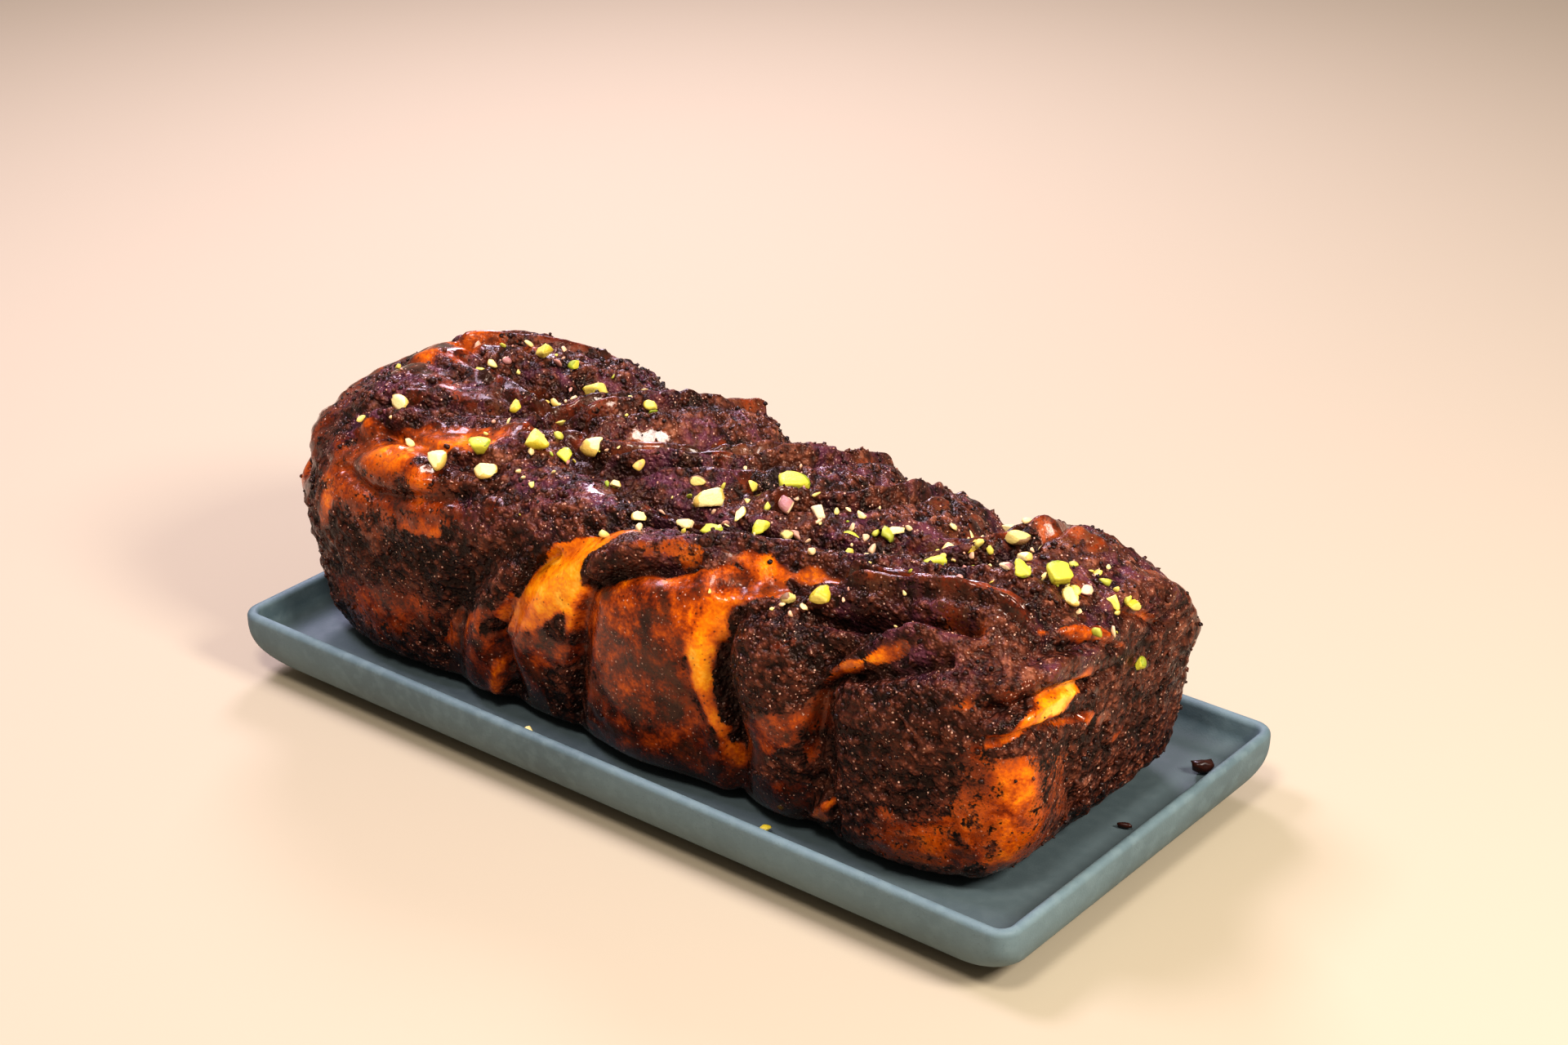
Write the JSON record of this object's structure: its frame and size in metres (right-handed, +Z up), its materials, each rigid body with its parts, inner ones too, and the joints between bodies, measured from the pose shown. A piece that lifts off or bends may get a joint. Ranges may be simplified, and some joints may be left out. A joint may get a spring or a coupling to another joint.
{
  "type": "braided loaf on a serving tray",
  "caption": "Tin-shaped braided chocolate loaf with a glazed, filling-streaked crust and chopped pistachio, resting on a shallow rimmed stoneware tray.",
  "frame": {"origin": "on the flat underside of the tray, under its middle", "axes": "+X along the loaf, +Z up, -Y towards the side with the broad golden bulges"},
  "size_m": [0.3, 0.1436, 0.104],
  "materials": {
    "stoneware": "matte",
    "crust": "satin",
    "kernel_yellow": "matte",
    "kernel_green": "matte",
    "kernel_cream": "matte",
    "skin_mauve": "matte",
    "skin_brown": "matte",
    "cake_crumb": "matte"
  },
  "bodies": {
    "root": {"serving_tray": "stoneware", "loaf": "crust", "pistachio_01": "kernel_yellow", "pistachio_02": "kernel_green", "pistachio_03": "kernel_yellow", "pistachio_04": "kernel_cream", "pistachio_05": "kernel_yellow", "pistachio_06": "kernel_yellow", "pistachio_07": "kernel_yellow", "pistachio_08": "kernel_cream", "pistachio_09": "kernel_green", "pistachio_10": "kernel_cream", "pistachio_11": "kernel_green", "pistachio_12": "kernel_cream", "pistachio_13": "kernel_cream", "pistachio_14": "kernel_cream", "pistachio_15": "kernel_cream", "pistachio_16": "skin_brown", "pistachio_17": "kernel_green", "pistachio_18": "kernel_yellow", "pistachio_19": "kernel_cream", "pistachio_20": "kernel_cream", "pistachio_21": "kernel_green", "pistachio_22": "kernel_cream", "pistachio_23": "kernel_green", "pistachio_24": "skin_mauve", "pistachio_25": "skin_brown", "pistachio_26": "skin_mauve", "pistachio_27": "kernel_cream", "pistachio_28": "kernel_green", "pistachio_29": "kernel_cream", "pistachio_30": "kernel_green", "pistachio_31": "kernel_cream", "pistachio_32": "kernel_cream", "pistachio_33": "kernel_yellow", "pistachio_34": "skin_brown", "pistachio_35": "kernel_cream", "pistachio_36": "kernel_cream", "pistachio_37": "kernel_cream", "pistachio_38": "kernel_cream", "pistachio_39": "kernel_green", "pistachio_40": "kernel_green", "pistachio_41": "skin_mauve", "pistachio_42": "kernel_yellow", "pistachio_43": "skin_brown", "pistachio_44": "skin_mauve", "pistachio_45": "kernel_cream", "pistachio_46": "kernel_cream", "pistachio_47": "kernel_yellow", "pistachio_48": "skin_mauve", "pistachio_49": "kernel_cream", "pistachio_50": "kernel_yellow", "pistachio_51": "kernel_yellow", "pistachio_52": "kernel_green", "fallen_cream_01": "kernel_cream", "fallen_yellow_02": "kernel_yellow", "fallen_crumb_03": "cake_crumb", "fallen_crumb_04": "cake_crumb"}
  },
  "joints": []
}
